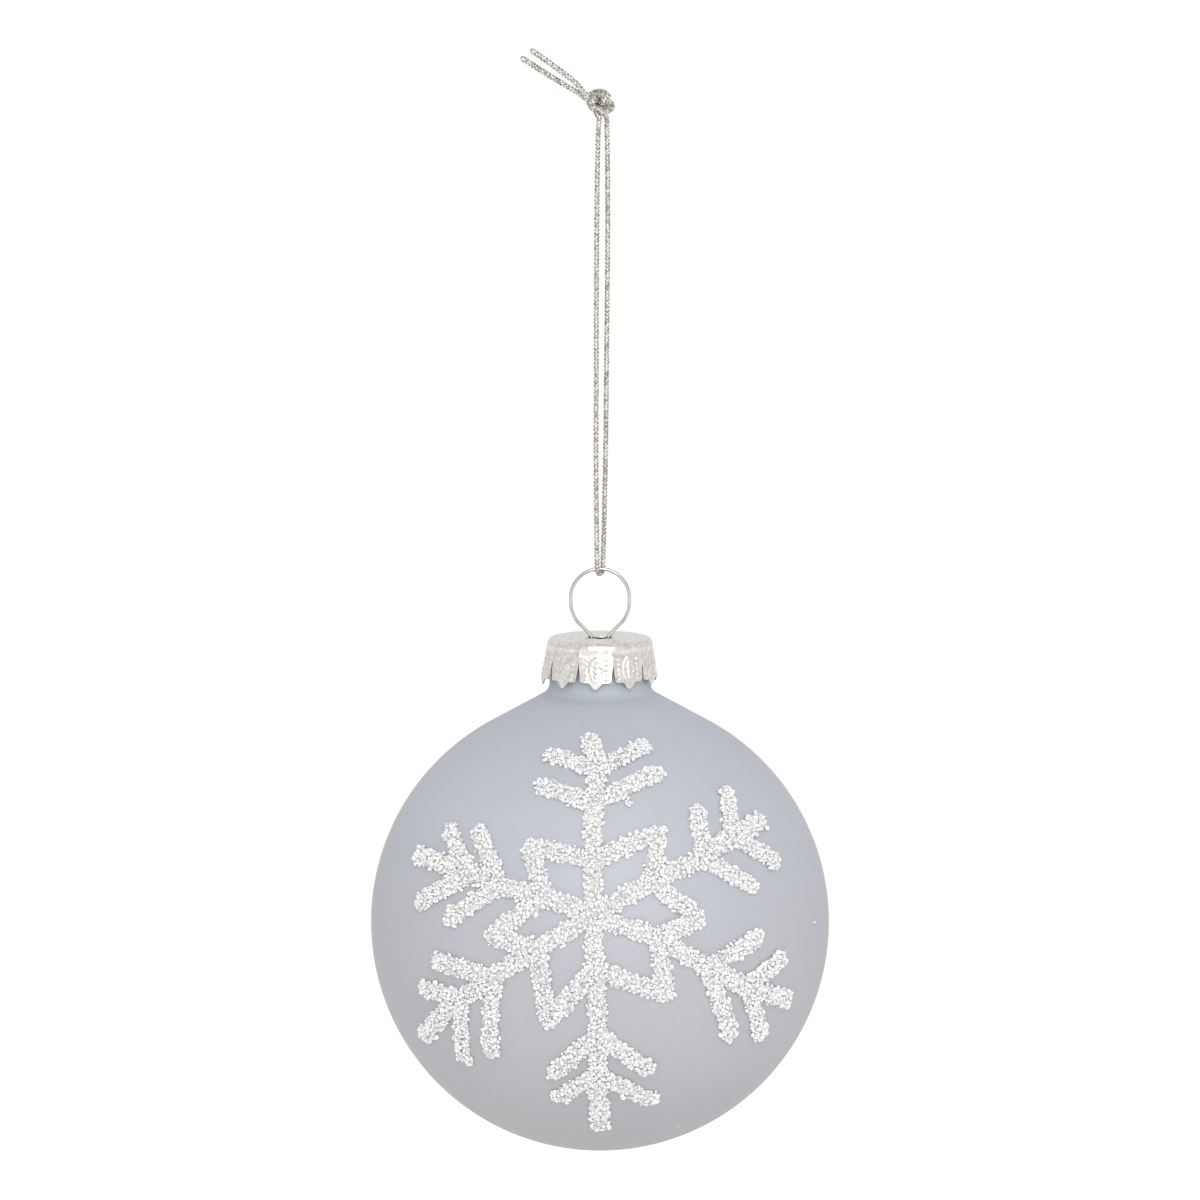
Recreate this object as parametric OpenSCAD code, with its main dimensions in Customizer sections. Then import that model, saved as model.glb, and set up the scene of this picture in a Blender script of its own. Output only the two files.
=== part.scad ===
// Glass ball ornament: a lacquered blown-glass ball with a short neck, a crown cap of thin
// metal, a spring-wire hanger that grips inside the neck, a knotted loop of braided cord, and
// a snowflake of white grit glued on the front. Millimetres, +Z up, front towards -Y.
// The origin is the hang point, inside the top of the cord loop and just under its knot.

/* [Glass ball] */
// Outer diameter of the round part
ball_d = 80; // [66:1:96]
// Thickness of the blown wall
glass_wall = 0.7; // [0.5:0.1:1.2]
// Slope of the shoulder that rises from the ball to the neck, in degrees
shoulder_slope = 29; // [24:1:34]
// Outer diameter of the neck
neck_d = 17.6; // [14.4:0.2:21.2]
// Thickness of the neck, where the glass is drawn together
neck_wall = 1.1; // [0.8:0.1:1.4]
// Radius of the hollow curve between shoulder and neck
neck_fillet = 2.4; // [1.8:0.2:3.2]
// Height of the straight part of the neck
neck_h = 7.6; // [6.3:0.1:9.2]

/* [Crown cap] */
// Thickness of the stamped sheet
cap_sheet = 0.25; // [0.2:0.05:0.4]
// Height of the cap from its top to the points of its tabs
cap_h = 7.9; // [6.5:0.1:9.5]
// Radius of the fold between the top and the tabs
cap_fold = 1; // [0.6:0.1:1.4]
// Gap between the neck and the inside of the fold
cap_clearance = 0.15; // [0.1:0.05:0.4]
// How much further out the tabs reach at their points than at the fold
cap_flare = 1.1; // [0.8:0.1:1.8]
// How far the cap is turned on the neck, seen from above, in degrees
cap_turn = -4.5; // [-18:0.5:18]
// Number of tabs round the cap
tab_count = 10; // [8:1:12]
// Length of the rounded tongue at the foot of each tab
tongue_h = 1.1; // [0.7:0.1:1.5]
// Width of the slit between two tabs at its open end
slit_w = 0.9; // [0.5:0.1:1.3]
// Height of the slit between two tabs
slit_h = 3.2; // [2:0.2:4]
// Length of the slot that the hanger passes through
slot_l = 4.6; // [4.2:0.1:5.4]
// Width of that slot
slot_w = 1.4; // [1:0.1:2]

/* [Hanger] */
// Diameter of the spring wire
wire_d = 0.6; // [0.45:0.05:0.75]
// Outer width of the ring
ring_w = 10.8; // [9:0.2:13]
// How much taller than wide the round of the ring is
ring_stretch = 0.9; // [0.6:0.1:1.3]
// Slope of the two sides that run together under the ring, in degrees
ring_taper = 45; // [41:1:50]
// Distance between the two legs where they pass through the cap
leg_gap = 3; // [2.5:0.1:3.6]
// Straight length of each leg under the cap
leg_straight = 3.7; // [3.2:0.1:4.4]
// Height of the sloping part of each leg
leg_reach = 12; // [9:0.5:14]
// Gap between a leg's foot and the bore of the neck
leg_clearance = 0.35; // [0.25:0.05:0.6]

/* [Cord] */
// Diameter of the braided cord
cord_d = 0.95; // [0.75:0.05:1.15]
// Gap between the cord and the wire that it passes under
cord_clearance = 0.2; // [0.15:0.05:0.3]
// Width of the knot
knot_w = 5; // [4.4:0.1:5.6]
// Height of the knot
knot_h = 4.2; // [3.8:0.1:4.4]

/* [Snowflake] */
// Width of a stroke of grit
stroke_w = 2.7; // [2.2:0.1:3.2]
// Height that the grit stands off the ball
stroke_h = 1.2; // [0.8:0.1:1.6]
// How far the middle of the snowflake is raised above the ball's waist, in degrees
snow_tilt = 9; // [6:1:12]

/* [Hidden] */

$fn = 96;
skin = 0.05;                     // gap between the cap and the rim that it sits on
over = 1;                        // how far a cutting shape passes the face that it cuts
hair = 0.02;                     // how far smooth curves are let into each other

// Heights in the hanger's own frame, whose zero is the top of the cap
ball_r = ball_d / 2;
neck_r = neck_d / 2;
bore_r = neck_r - neck_wall;
wire_r = wire_d / 2;
ring_r = (ring_w - wire_d) / 2;  // radius of the wire's centre line
taper_x = ring_r * sin(ring_taper);
taper_drop = (taper_x - leg_gap / 2) * tan(ring_taper);
entry_z = wire_r;                // height at which the two sides turn down into the slot
ring_low_z = entry_z + taper_drop + ring_r * cos(ring_taper);
ring_high_z = ring_low_z + ring_stretch;
ring_top_z = ring_high_z + ring_r;

// Heights above the middle of the ball
fillet_x = neck_r + neck_fillet;
fillet_z = (ball_r + neck_fillet - fillet_x * sin(shoulder_slope)) / cos(shoulder_slope);
rim_z = fillet_z + neck_h;
cap_top_z = rim_z + skin + cap_sheet;

// The ornament hangs from its ring, which rests in the fold of the cord
fold_z = -81;                    // height of the cord's centre line at its fold
wire_z = fold_z + cord_d / 2 + cord_clearance + wire_r;
cap_z = wire_z - ring_top_z;     // the cap's top
ball_z = cap_z - cap_top_z;      // the ball's middle

// The cap's outline, from its axis outwards
fold_x = neck_r + cap_clearance + cap_sheet;
flat_x = fold_x - cap_fold;      // edge of the flat top, where the fold begins
skirt_x = fold_x + cap_flare;
skirt_lap = cap_sheet / 4;
tab_angle = 360 / tab_count;

// The cord's route, in two halves from the fold under the wire, up through the knot to the
// tips. The two halves start in opposite directions, so that they are one cord.
left_route = [
    [0, 0, fold_z], [-0.35, -0.55, -80.8], [-0.6, -0.95, -80.2], [-0.7, -1, -79.4],
    [-0.75, -0.9, -76], [-0.7, -0.8, -68], [-0.7, -0.7, -58], [-0.65, -0.6, -48],
    [-0.65, -0.6, -38], [-0.6, -0.6, -28], [-0.55, -0.6, -18], [-0.45, -0.6, -9],
    [-0.3, -0.6, -3], [-0.1, -0.6, 0], [0, -0.65, 1.8], [-1.2, -0.65, 3.6],
    [-4, -0.6, 5.6], [-7.6, -0.55, 8.5], [-11.3, -0.5, 11.3]];
right_route = [
    [0, 0, fold_z], [0.35, 0.55, -80.8], [0.6, 0.95, -80.2], [0.7, 1, -79.4],
    [0.75, 0.9, -76], [0.9, 0.8, -68], [1, 0.7, -58], [1.1, 0.6, -48],
    [1.2, 0.6, -38], [1.3, 0.6, -28], [1.35, 0.6, -18], [1.3, 0.6, -9],
    [1.2, 0.6, -3], [1.15, 0.6, 0], [0.9, 0.65, 1.6], [-1, 0.65, 2.9],
    [-4, 0.6, 4.6], [-8.4, 0.55, 7.3], [-13, 0.5, 9.9]];
cord_sides = 8;
wire_sides = 12;
ring_pitch = 2.7;                // distance between the tube's rings where it runs straight
knot_centre = [0.4, 0, 2.4];

// The snowflake's points are [bearing, distance] in degrees: the bearing clockwise from the
// top, the distance along the ball from the snowflake's middle. It was piped by hand, so no two
// arms are alike. Each arm holds its tip, its outer and its inner fork, and then its barbs'
// ends: outer left, outer right, inner left and inner right, as seen from the middle.
top_arm = [[-3, 52], [-1, 40], [-3, 30], [-16, 48], [14, 51], [-23, 39], [21, 43]];
upper_right_arm = [[58, 54], [57, 42], [59, 31], [45, 51], [71, 53], [42, 39], [77, 42]];
lower_right_arm = [[113, 61], [114, 43], [114, 30], [102, 53], [125, 58], [96, 43], [131, 48]];
bottom_arm = [[180, 62], [181, 41], [181, 29], [164, 53], [193, 51], [162, 42], [197, 43]];
lower_left_arm = [[237, 65], [241, 43], [242, 31], [225, 56], [249, 54], [220, 47], [256, 46]];
upper_left_arm = [[290, 56], [290, 36], [289, 27], [276, 51], [301, 49], [271, 40], [306, 40]];
// The star's spokes run from its middle to a hollow on each arm, and its outline goes from each
// hollow to a point between two arms
star_middle = [-60, 2];
star_hollows = [[-7, 15], [52, 16], [106, 15], [186, 12], [246, 17], [294, 15]];
star_points = [[34, 27], [89, 25], [138, 25], [207, 29], [262, 28], [317, 26]];

// ---- Glass ----

// Half of the bulb's outline: the ball, its shoulder and its neck up to a given height. The
// slope of the shoulder starts a hair inside the ball and ends a hair inside the hollow curve.
module bulb_outline(r, neck_x, fillet, top) {
    slope = [sin(shoulder_slope), cos(shoulder_slope)];
    centre = [neck_x + fillet, (r + fillet - (neck_x + fillet) * slope[0]) / slope[1]];
    difference() {
        union() {
            circle(r);
            polygon([[-neck_x, 0], (r - hair) * slope, centre - (fillet - hair) * slope,
                centre, [neck_x, centre[1]], [neck_x, top], [-neck_x, top]]);
        }
        translate(centre) circle(fillet);
        translate([-2 * r, -r - over]) square([2 * r, 2 * r + top + over]);
    }
}

module bulb_solid() {
    rotate_extrude() bulb_outline(ball_r, neck_r, neck_fillet, rim_z);
}

// The sharp corner of the neck's rim, which is rounded to sit in the fold of the cap
module rim_corner() {
    rotate_extrude() translate([flat_x, cap_top_z - cap_fold]) difference() {
        square(cap_fold + over);
        circle(cap_fold - cap_sheet - skin);
    }
}

module glass_ball() {
    color("#c4c6ca") translate([0, 0, ball_z]) difference() {
        bulb_solid();
        rotate_extrude()
            bulb_outline(ball_r - glass_wall, bore_r, neck_fillet + neck_wall, rim_z + over);
        rim_corner();
    }
}

// ---- Snowflake of grit ----

// Unit vector to a [bearing, distance] point, in a frame whose Z leaves the snowflake's middle
function on_ball(p) = [sin(p[0]) * sin(p[1]), cos(p[0]) * sin(p[1]), cos(p[1])];
function unit(v) = v / norm(v);

// One stroke of grit from p to q: an upright slab with round ends, taller than the grit
module stroke(p, q) {
    a = on_ball(p);
    b = on_ball(q);
    mid = unit(a + b);
    bearing = atan2(mid[0], mid[1]);
    tilt = acos(mid[2]);
    across = [cos(bearing), -sin(bearing), 0];
    along = [sin(bearing) * cos(tilt), cos(bearing) * cos(tilt), -sin(tilt)];
    roll = atan2((b - a) * along, (b - a) * across);
    reach = norm(b - a) * ball_r / 2;
    rotate([-tilt, 0, -bearing]) rotate([0, 0, roll]) translate([0, 0, ball_r * 0.8])
        linear_extrude(ball_r * 0.2 + stroke_h + over) {
            translate([-reach, -stroke_w / 2]) square([2 * reach, stroke_w]);
            translate([-reach, 0]) circle(stroke_w / 2);
            translate([reach, 0]) circle(stroke_w / 2);
        }
}

module star_strokes() {
    for (i = [0:5]) {
        stroke(star_middle, star_hollows[i]);
        stroke(star_hollows[i], star_points[i]);
        stroke(star_points[i], star_hollows[(i + 1) % 6]);
    }
}

module arm_strokes(arm, hollow) {
    stroke(hollow, arm[2]);
    stroke(arm[2], arm[1]);
    stroke(arm[1], arm[0]);
    stroke(arm[1], arm[3]);
    stroke(arm[1], arm[4]);
    stroke(arm[2], arm[5]);
    stroke(arm[2], arm[6]);
}

// The layer of grit over the ball, which the strokes are cut from
module grit_layer() {
    difference() {
        sphere(ball_r + stroke_h);
        bulb_solid();
    }
}

module grit_colour() {
    color("white") translate([0, 0, ball_z]) children();
}

module snowflake_star() {
    grit_colour() intersection() {
        grit_layer();
        rotate([90 - snow_tilt, 0, 0]) star_strokes();
    }
}

module snowflake_arm(arm, hollow) {
    grit_colour() intersection() {
        grit_layer();
        rotate([90 - snow_tilt, 0, 0]) difference() {
            arm_strokes(arm, hollow);
            star_strokes();
        }
    }
}

// ---- Crown cap ----

// Half of the outline of the flat top and the fold round it
module top_outline() {
    translate([0, -cap_sheet]) square([flat_x, cap_sheet]);
    intersection() {
        translate([flat_x, -cap_fold]) difference() {
            circle(cap_fold);
            circle(cap_fold - cap_sheet);
        }
        translate([flat_x, -cap_fold]) square(cap_fold);
    }
}

// Half of the outline of the slanting skirt, which laps a little way into the fold
module skirt_outline() {
    polygon([[fold_x - cap_sheet, -cap_fold], [fold_x - cap_sheet, skirt_lap - cap_fold],
        [fold_x - cap_sheet / 4, skirt_lap - cap_fold], [fold_x, -cap_fold],
        [skirt_x, -cap_h], [skirt_x - cap_sheet, -cap_h]]);
}

// What is cut away between the middles of two tabs: the slit and the edge beside each tongue
module tab_gap() {
    half = skirt_x * sin(tab_angle / 2);
    corner_z = tongue_h - cap_h;
    rotate([90, 0, 90]) linear_extrude(2 * skirt_x)
        polygon([[0, corner_z + slit_h], [slit_w / 2, corner_z],
            [half * 0.62, corner_z - tongue_h * 0.3], [half, -cap_h],
            [half, -cap_h - over], [-half, -cap_h - over],
            [-half, -cap_h], [-half * 0.62, corner_z - tongue_h * 0.3], [-slit_w / 2, corner_z]]);
}

module hanger_slot() {
    bend = (slot_l - slot_w) / 2;
    translate([0, 0, -cap_sheet - over]) linear_extrude(cap_sheet + 2 * over) {
        translate([-bend, -slot_w / 2]) square([2 * bend, slot_w]);
        translate([-bend, 0]) circle(slot_w / 2);
        translate([bend, 0]) circle(slot_w / 2);
    }
}

module crown_cap() {
    color("#c8c4bc") translate([0, 0, cap_z]) difference() {
        union() {
            rotate_extrude() top_outline();
            rotate_extrude() skirt_outline();
        }
        for (i = [0:tab_count - 1]) rotate([0, 0, (i + 0.5) * tab_angle - 90 + cap_turn])
            tab_gap();
        hanger_slot();
    }
}

// ---- Wire and cord ----

// Corners of a ring square to its heading, turned so that one corner faces +Y
function corners(centre, along, r, sides) = let (t = unit(along), u = unit([0, 1, 0] - t[1] * t),
    v = cross(t, u)) [for (k = [0:sides - 1]) let (angle = k * 360 / sides)
    centre + r * (cos(angle) * u + sin(angle) * v)];

// A round bar along a line of points, whose first ring is square to start
module swept(points, start, r, n) {
    last = len(points) - 1;
    function heading(i) = i == 0 ? start
        : unit(points[min(i + 1, last)] - points[i]) + unit(points[i] - points[i - 1]);
    body = [for (i = [0:last])
        each corners(points[i], i == last ? points[i] - points[i - 1] : heading(i), r, n)];
    sides = [for (i = [0:last - 1]) for (k = [0:n - 1])
        [i * n + k, i * n + (k + 1) % n, (i + 1) * n + (k + 1) % n, (i + 1) * n + k]];
    ends = [[for (k = [0:n - 1]) n - 1 - k], [for (k = [0:n - 1]) last * n + k]];
    polyhedron(body, concat(sides, ends));
}

// Points of a bend of the ring's wire about a middle at height z, from one angle to another
function bend(z, from, to, steps) = [for (k = [0:steps])
    let (angle = from + (to - from) * k / steps)
    [ring_r * cos(angle), 0, z + ring_r * sin(angle)]];

// The leg on one side, from the slot in the cap to its toe inside the neck
function leg(side) = let (entry = leg_gap / 2, knee_z = -cap_sheet - leg_straight,
    foot = bore_r - leg_clearance - wire_r)
    [[side * entry, 0, entry_z], [side * entry, 0, entry_z - wire_d], [side * entry, 0, knee_z],
    [side * foot, 0, knee_z - leg_reach], [side * (foot - entry), 0, knee_z - leg_reach - entry]];

function reversed(list) = [for (i = [len(list) - 1:-1:0]) list[i]];

module hanger_wire() {
    taper = 90 - ring_taper;
    points = concat(reversed(leg(1)), bend(ring_low_z, -taper, 0, 5),
        bend(ring_high_z, 0, 180, 18), bend(ring_low_z, 180, 180 + taper, 5), leg(-1));
    color("#b4b0a8") translate([0, 0, cap_z])
        swept(points, points[1] - points[0], wire_r, wire_sides);
}

// Smooth curve through the route: t from 0 to 1 between b and c, with their neighbours a and d
function spline(a, b, c, d, t) = 0.5 * (2 * b + (c - a) * t
    + (2 * a - 5 * b + 4 * c - d) * t * t + (3 * b - a - 3 * c + d) * t * t * t);
function pieces(a, b) = max(1, round(norm(b - a) / ring_pitch));

// The route's rings, with before as the point that lies on the cord behind its start
function rings(route, before) = let (last = len(route) - 1) concat([
    for (i = [0:last - 1])
        let (a = i == 0 ? before : route[i - 1], d = i == last - 1 ? route[last] : route[i + 2],
            n = pieces(route[i], route[i + 1]))
        for (k = [0:n - 1]) spline(a, route[i], route[i + 1], d, k / n)], [route[last]]);

module cord_tube(route, other) {
    color("#b9b5ae")
        swept(rings(route, other[1]), route[1] - other[1], cord_d / 2, cord_sides);
}

module cord_knot() {
    reach = (knot_w - knot_h) / 2;
    color("#b9b5ae") translate(knot_centre) {
        translate([-reach, 0, 0]) sphere(knot_h / 2);
        translate([reach, 0, 0]) sphere(knot_h / 2);
        translate([-reach, 0, 0]) rotate([0, 90, 0]) cylinder(r = knot_h / 2, h = 2 * reach);
    }
}

glass_ball();
snowflake_star();
snowflake_arm(top_arm, star_hollows[0]);  // snowflake_arm_top
snowflake_arm(upper_right_arm, star_hollows[1]);  // snowflake_arm_upper_right
snowflake_arm(lower_right_arm, star_hollows[2]);  // snowflake_arm_lower_right
snowflake_arm(bottom_arm, star_hollows[3]);  // snowflake_arm_bottom
snowflake_arm(lower_left_arm, star_hollows[4]);  // snowflake_arm_lower_left
snowflake_arm(upper_left_arm, star_hollows[5]);  // snowflake_arm_upper_left
crown_cap();
hanger_wire();
cord_tube(left_route, right_route);  // cord_left
cord_tube(right_route, left_route);  // cord_right
cord_knot();
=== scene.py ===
"""A satin glass ball with a snowflake of white grit, hanging by a wire ring from a silver cord."""

import math

import bmesh
import bpy
import numpy as np
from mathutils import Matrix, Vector
from mathutils.kdtree import KDTree


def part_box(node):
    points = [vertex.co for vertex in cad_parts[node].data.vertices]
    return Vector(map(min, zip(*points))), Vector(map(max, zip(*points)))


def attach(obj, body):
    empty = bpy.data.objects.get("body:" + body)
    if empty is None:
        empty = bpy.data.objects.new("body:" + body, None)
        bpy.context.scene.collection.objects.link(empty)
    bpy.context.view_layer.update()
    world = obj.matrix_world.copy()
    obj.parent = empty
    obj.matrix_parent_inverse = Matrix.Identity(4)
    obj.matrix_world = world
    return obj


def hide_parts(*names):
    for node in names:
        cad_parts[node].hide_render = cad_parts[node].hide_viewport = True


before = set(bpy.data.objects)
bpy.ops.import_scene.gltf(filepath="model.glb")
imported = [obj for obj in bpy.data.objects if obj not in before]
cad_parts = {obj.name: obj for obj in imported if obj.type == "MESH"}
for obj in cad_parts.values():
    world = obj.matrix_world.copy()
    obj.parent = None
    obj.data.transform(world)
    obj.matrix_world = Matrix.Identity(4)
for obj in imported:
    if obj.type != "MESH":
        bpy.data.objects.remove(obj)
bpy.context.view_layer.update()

MM = 0.001
ball_low, ball_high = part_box("glass_ball")
ball_r = (ball_high.x - ball_low.x) / 2
ball_centre = Vector((0, 0, ball_low.z + ball_r))


# ---------------------------------------------------------------- camera, floor and light
# The ornament hangs over a pale floor that runs out of sight, under a soft even light. A large
# soft box above the camera models the ball and lights the cap's front.

view_middle = Vector((0, 0, ball_centre.z + 56.7 * MM))
view_drop = math.radians(8)
view_away = 4.0
view_width = 0.2091
from_camera = Vector((0, math.cos(view_drop), -math.sin(view_drop)))

bpy.ops.object.select_all(action="DESELECT")
bpy.ops.object.camera_add(location=view_middle - view_away * from_camera)
camera = bpy.context.object
camera.rotation_mode = "QUATERNION"
camera.rotation_quaternion = from_camera.to_track_quat("-Z", "Y")
camera.data.sensor_width = 36
camera.data.lens = camera.data.sensor_width * view_away / view_width
camera.data.clip_start = 0.1
bpy.context.scene.camera = camera
bpy.context.scene.view_settings.view_transform = "Standard"

floor_drop = 0.05
bpy.ops.mesh.primitive_plane_add(size=60, location=(0, 0, ball_low.z - floor_drop))
studio_floor = bpy.context.object
studio_floor.name = "studio_floor"


def blank_material(name):
    """A new material and its nodes, links and surface shader."""
    material = bpy.data.materials.new(name)
    material.use_nodes = True
    nodes = material.node_tree.nodes
    return material, nodes, material.node_tree.links, nodes["Principled BSDF"]


floor_paint, _, _, floor_shader = blank_material("pale_floor")
floor_shader.inputs["Base Color"].default_value = (0.97, 0.97, 0.97, 1)
floor_shader.inputs["Emission Color"].default_value = (1, 1, 1, 1)
floor_shader.inputs["Emission Strength"].default_value = 0.08
floor_shader.inputs["Roughness"].default_value = 0.9
floor_shader.inputs["Specular IOR Level"].default_value = 0.1
studio_floor.data.materials.append(floor_paint)

world = bpy.data.worlds.new("soft_daylight")
world.use_nodes = True
world.node_tree.nodes["Background"].inputs["Color"].default_value = (1, 1, 1, 1)
world.node_tree.nodes["Background"].inputs["Strength"].default_value = 0.95
bpy.context.scene.world = world


def soft_box(name, place, size, watts):
    """A square soft box at a place, turned to the ball."""
    bpy.ops.object.light_add(type="AREA", location=place)
    box = bpy.context.object
    box.name = name
    box.data.size = size
    box.data.energy = watts
    box.rotation_mode = "QUATERNION"
    box.rotation_quaternion = (ball_centre - Vector(place)).to_track_quat("-Z", "Y")


soft_box("front_box", (0.15, -1.3, 0.55), 0.9, 10)


# ---------------------------------------------------------------- cord
# One length of tubular braid of silver metallised yarn, doubled through the ring and tied in an
# overhand knot. It is built as its two halves, which meet under the ring's wire.

cord_d = 0.95 * MM
left_route = [
    (0, 0, -80.85), (-0.3, -0.55, -80.7), (-0.48, -0.95, -80.2), (-0.5, -1, -79.4),
    (-0.55, -0.9, -76), (-0.65, -0.8, -68), (-0.7, -0.7, -58), (-0.65, -0.6, -48),
    (-0.65, -0.6, -38), (-0.6, -0.6, -28), (-0.55, -0.6, -18), (-0.45, -0.6, -9),
    (-0.3, -0.6, -3), (-0.2, -0.6, -0.8)]
right_route = [
    (0, 0, -80.85), (0.3, 0.55, -80.7), (0.48, 0.95, -80.2), (0.5, 1, -79.4),
    (0.6, 0.9, -76), (0.8, 0.8, -68), (1, 0.7, -58), (1.1, 0.6, -48),
    (1.2, 0.6, -38), (1.3, 0.6, -28), (1.35, 0.6, -18), (1.3, 0.6, -9),
    (1.2, 0.6, -3), (0.95, 0.6, -0.6)]
left_tail = [(-4.2, -0.6, 5.2), (-8, -0.55, 8.2), (-12.1, -0.5, 11.1)]
right_tail = [(-4.2, 0.6, 3.6), (-8.8, 0.55, 6.4), (-13.8, 0.5, 9.6)]

knot_centre = (-0.65, 0, 1.75)
knot_lean = math.radians(42)
knot_reach = (1.14, 1.15, 0.6)    # how far a lobe reaches to the side, in depth and up
knot_strand_gap = 0.3               # each strand's distance from the knot's middle plane


def knot_turns(depth, size):
    """An overhand knot's line from its first crossing to its last, opened at its lower left."""
    turns = []
    for degrees in range(-18, 260, 12):
        t = math.radians(degrees)
        across = math.sin(t) + 2 * math.sin(2 * t)
        up = math.cos(t) - 2 * math.cos(2 * t)
        side = across * math.cos(knot_lean) - up * math.sin(knot_lean)
        rise = across * math.sin(knot_lean) + up * math.cos(knot_lean)
        turns.append((
            knot_centre[0] + knot_reach[0] * size * side,
            depth - knot_reach[1] * math.sin(3 * t),
            knot_centre[2] + knot_reach[2] * size * rise))
    return turns


def smooth_line(points, before, spacing):
    """Points at an even spacing on the smooth curve through a route. The curve starts as if the
    route came from before."""
    p = np.array([before] + points + [points[-1]], float) * MM
    line = []
    for a, b, c, d in zip(p, p[1:], p[2:], p[3:]):
        for t in np.linspace(0, 1, 40, endpoint=False):
            line.append(0.5 * (2 * b + (c - a) * t + (2 * a - 5 * b + 4 * c - d) * t * t
                               + (3 * b - a - 3 * c + d) * t ** 3))
    line.append(p[-1])
    line = np.array(line)
    run = np.concatenate([[0], np.cumsum(np.linalg.norm(np.diff(line, axis=0), axis=1))])
    steps = np.linspace(0, run[-1], round(run[-1] / spacing) + 1)
    return np.stack([np.interp(steps, run, line[:, k]) for k in range(3)], axis=1), steps


braid_sides = 40                    # corners round the cord
braid_spacing = 0.07 * MM           # distance between two rings of corners
braid_yarns = 4                     # yarns that run each way round
braid_pitch = 2.6 * MM              # length in which a yarn goes once round
braid_relief = 0.28                 # share of the radius that the yarns' relief takes up
fused_end = 0.9 * MM                # length of the melted end
fused_height = 0.9
tail_length = 12 * MM
tail_slack = 0.15
knot_size = 3 * MM                  # the knot's reach from its middle
knot_press = 0.3                    # how much wider the cord is drawn in the knot


def braided_tube(name, points, before):
    """A closed tube of braid along a route, whose yarns stand out where they cross on top."""
    line, run = smooth_line(points, before, braid_spacing)
    heading = np.gradient(line, axis=0)
    heading[0] = (np.array(points[1]) - np.array(before)) * MM
    heading /= np.linalg.norm(heading, axis=1)[:, None]
    side = np.array([0.0, 1.0, 0.0]) - heading[:, 1:2] * heading
    side /= np.linalg.norm(side, axis=1)[:, None]
    other = np.cross(heading, side)
    angle = np.linspace(0, 2 * math.pi, braid_sides, endpoint=False)
    turn = angle[None, :] / (2 * math.pi)
    u = braid_yarns * (turn + run[:, None] / braid_pitch)
    v = braid_yarns * (turn - run[:, None] / braid_pitch)
    iu, iv = np.round(u), np.round(v)
    # A yarn is round across and goes over and under the yarns that run the other way
    one_way = 0.5 * np.cos(math.pi * (v + iu)) + 0.5 * np.cos(math.pi * (u - iu))
    other_way = -0.5 * np.cos(math.pi * (u + iv)) + 0.5 * np.cos(math.pi * (v - iv))
    height = np.maximum(one_way, other_way)
    # The cut end is melted into a round bead, and the braid fades into it
    from_tip = run[-1] - run
    fused = np.clip(1 - from_tip / fused_end, 0, 1)[:, None]
    height = height * (1 - fused) + fused_height * fused
    bead = np.sqrt(np.clip(1 - np.clip(1 - from_tip / (0.5 * cord_d), 0, 1) ** 2, 0.02, 1))
    # The tails were never pulled taut, and are a little thicker
    slack = 1 + tail_slack * np.clip(1 - from_tip / tail_length, 0, 1) ** 0.5
    # The knot's pull presses the braid flat and wide
    to_knot = np.linalg.norm(line[:, ::2] - np.array(knot_centre[::2]) * MM, axis=1)
    pressed = 1 + knot_press * np.clip((knot_size - to_knot) / (0.8 * MM), 0, 1)
    relief = 1 - braid_relief + braid_relief * height
    radius = cord_d / 2 * relief * (bead * slack * pressed)[:, None]
    ring = (side[:, None, :] * np.cos(angle)[None, :, None]
            + other[:, None, :] * np.sin(angle)[None, :, None])
    vertices = line[:, None, :] + ring * radius[:, :, None]
    n, rows = braid_sides, len(line)
    mesh = bpy.data.meshes.new(name)
    row, col = np.meshgrid(np.arange(rows - 1), np.arange(n), indexing="ij")
    nxt = (col + 1) % n
    quads = np.stack([row * n + col, row * n + nxt, (row + 1) * n + nxt, (row + 1) * n + col],
                     axis=-1).reshape(-1, 4)
    tip = rows * n
    caps = [list(range(n - 1, -1, -1))]
    caps += [[(rows - 1) * n + k, (rows - 1) * n + (k + 1) % n, tip] for k in range(n)]
    points_all = np.concatenate([vertices.reshape(-1, 3), line[-1:]])
    mesh.from_pydata(points_all.tolist(), [], quads.tolist() + caps)
    mesh.update()
    yarn = mesh.attributes.new("yarn", "FLOAT", "POINT")
    yarn.data.foreach_set(
        "value", np.append(height.reshape(-1), fused_height).astype(np.float32))
    tube = bpy.data.objects.new(name, mesh)
    bpy.context.collection.objects.link(tube)
    mesh.shade_smooth()
    return tube, line


cord_silver, nodes, links, shader = blank_material("metallised_braid")
yarn = nodes.new("ShaderNodeAttribute")
yarn.attribute_name = "yarn"
# Painted shade: the base colour runs from near black where the yarns lie low, in the gaps between
# them, to silver on their crowns
yarn_height_painted_shade = nodes.new("ShaderNodeValToRGB")
yarn_height_painted_shade.color_ramp.elements[0].position = 0.05
yarn_height_painted_shade.color_ramp.elements[0].color = (0.09, 0.085, 0.08, 1)
yarn_height_painted_shade.color_ramp.elements[1].position = 0.75
yarn_height_painted_shade.color_ramp.elements[1].color = (0.68, 0.66, 0.62, 1)
links.new(yarn.outputs["Fac"], yarn_height_painted_shade.inputs["Fac"])
place = nodes.new("ShaderNodeTexCoord")
fleck = nodes.new("ShaderNodeTexNoise")
fleck.inputs["Scale"].default_value = 2000
fleck.inputs["Detail"].default_value = 1
links.new(place.outputs["Object"], fleck.inputs["Vector"])
fleck_ramp = nodes.new("ShaderNodeValToRGB")
fleck_ramp.color_ramp.elements[0].position = 0.38
fleck_ramp.color_ramp.elements[0].color = (0.45, 0.43, 0.4, 1)
fleck_ramp.color_ramp.elements[1].position = 0.58
fleck_ramp.color_ramp.elements[1].color = (1, 1, 1, 1)
links.new(fleck.outputs["Fac"], fleck_ramp.inputs["Fac"])
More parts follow.
